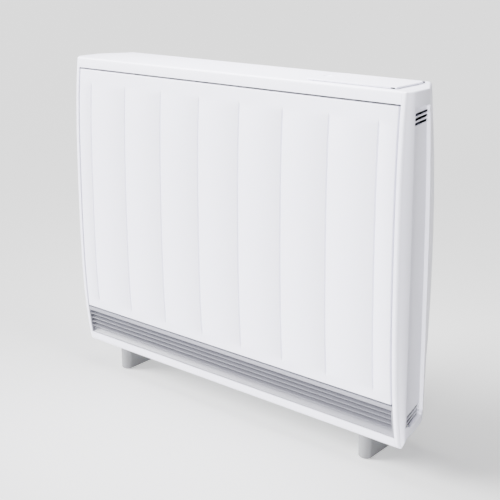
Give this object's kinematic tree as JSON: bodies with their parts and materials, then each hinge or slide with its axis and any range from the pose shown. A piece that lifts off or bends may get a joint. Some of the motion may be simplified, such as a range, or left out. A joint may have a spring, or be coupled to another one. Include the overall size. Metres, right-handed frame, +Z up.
{
  "type": "storage heater",
  "caption": "Slim floor-standing storage heater with a bowed ribbed front, moulded end caps, a lidded control panel on top, a low outlet grille and a brick core inside.",
  "frame": {"origin": "on the floor, in the middle of the width and of the depth", "axes": "+X along the width to the end with the control lid, -Y out of the front panel, +Z up"},
  "size_m": [0.867, 0.17, 0.73],
  "materials": {
    "white_paint": "powder coat, satin",
    "white_moulding": "fine satin",
    "slat_grey": "satin",
    "foot_grey": "matte",
    "dark_moulding": "matte",
    "button_grey": "satin",
    "display_glass": "dark tinted",
    "zinc_steel": "zinc coated",
    "mineral_board": "pressed mineral fibre board",
    "iron_brick": "fired, rough",
    "element_sheath": "heat-stained sheath",
    "board_green": "solder-masked board",
    "ceramic_white": "unglazed"
  },
  "bodies": {
    "heater": {"front_panel": "white_paint", "top_cover": "white_moulding", "left_end_cap": "white_moulding", "right_end_cap": "white_moulding", "grille_frame": "slat_grey", "grille_slat_1": "slat_grey", "grille_slat_2": "slat_grey", "grille_slat_3": "slat_grey", "grille_slat_4": "slat_grey", "bottom_rail": "white_paint", "base_tray": "zinc_steel", "back_panel": "zinc_steel", "left_foot": "foot_grey", "right_foot": "foot_grey", "left_wall_bracket": "zinc_steel", "right_wall_bracket": "zinc_steel", "cable_gland": "dark_moulding", "lid_hinge_pin": "zinc_steel", "control_bezel": "dark_moulding", "display_window": "display_glass", "core_deck": "zinc_steel", "base_insulation": "mineral_board", "front_insulation": "mineral_board", "rear_insulation": "mineral_board", "left_insulation": "mineral_board", "right_insulation": "mineral_board", "top_insulation": "mineral_board", "brick_1_1": "iron_brick", "brick_1_2": "iron_brick", "brick_1_3": "iron_brick", "brick_2_1": "iron_brick", "brick_2_2": "iron_brick", "brick_2_3": "iron_brick", "brick_3_1": "iron_brick", "brick_3_2": "iron_brick", "brick_3_3": "iron_brick", "brick_4_1": "iron_brick", "brick_4_2": "iron_brick", "brick_4_3": "iron_brick", "heating_element_1": "element_sheath", "heating_element_2": "element_sheath", "heating_element_3": "element_sheath", "fan_housing": "zinc_steel", "fan_motor": "dark_moulding", "fan_bearing": "dark_moulding", "flap_actuator": "ceramic_white", "chassis_plate": "zinc_steel", "control_board": "board_green", "terminal_block": "ceramic_white", "thermal_cutout": "ceramic_white", "core_sensor": "element_sheath"},
    "lid": {"control_lid": "white_moulding"},
    "button_mode": {"button_mode": "button_grey"},
    "button_down": {"button_down": "button_grey"},
    "button_up": {"button_up": "button_grey"},
    "button_enter": {"button_enter": "button_grey"},
    "button_boost": {"button_boost": "button_grey"},
    "fan": {"fan_impeller": "zinc_steel"},
    "flap": {"mixing_flap": "zinc_steel"}
  },
  "joints": [
    {"name": "lid_hinge", "type": "hinge", "parent": "heater", "child": "lid", "pos_m": [0.2995, 0.039, 0.72], "axis": [-1, 0, 0], "range_deg": [0, 95]},
    {"name": "button_mode_press", "type": "slide", "parent": "heater", "child": "button_mode", "axis": [0, 0, -1], "range_m": [0, 0.0012], "stiffness_N_per_m": 400},
    {"name": "button_down_press", "type": "slide", "parent": "heater", "child": "button_down", "axis": [0, 0, -1], "range_m": [0, 0.0012], "stiffness_N_per_m": 400},
    {"name": "button_up_press", "type": "slide", "parent": "heater", "child": "button_up", "axis": [0, 0, -1], "range_m": [0, 0.0012], "stiffness_N_per_m": 400},
    {"name": "button_enter_press", "type": "slide", "parent": "heater", "child": "button_enter", "axis": [0, 0, -1], "range_m": [0, 0.0012], "stiffness_N_per_m": 400},
    {"name": "button_boost_press", "type": "slide", "parent": "heater", "child": "button_boost", "axis": [0, 0, -1], "range_m": [0, 0.0012], "stiffness_N_per_m": 400},
    {"name": "fan_spin", "type": "hinge", "parent": "heater", "child": "fan", "pos_m": [-0.05, 0.013, 0.1102], "axis": [1, 0, 0], "continuous": true},
    {"name": "flap_turn", "type": "hinge", "parent": "heater", "child": "flap", "pos_m": [-0.05, -0.033, 0.1402], "axis": [-1, 0, 0], "range_deg": [0, 30]}
  ]
}
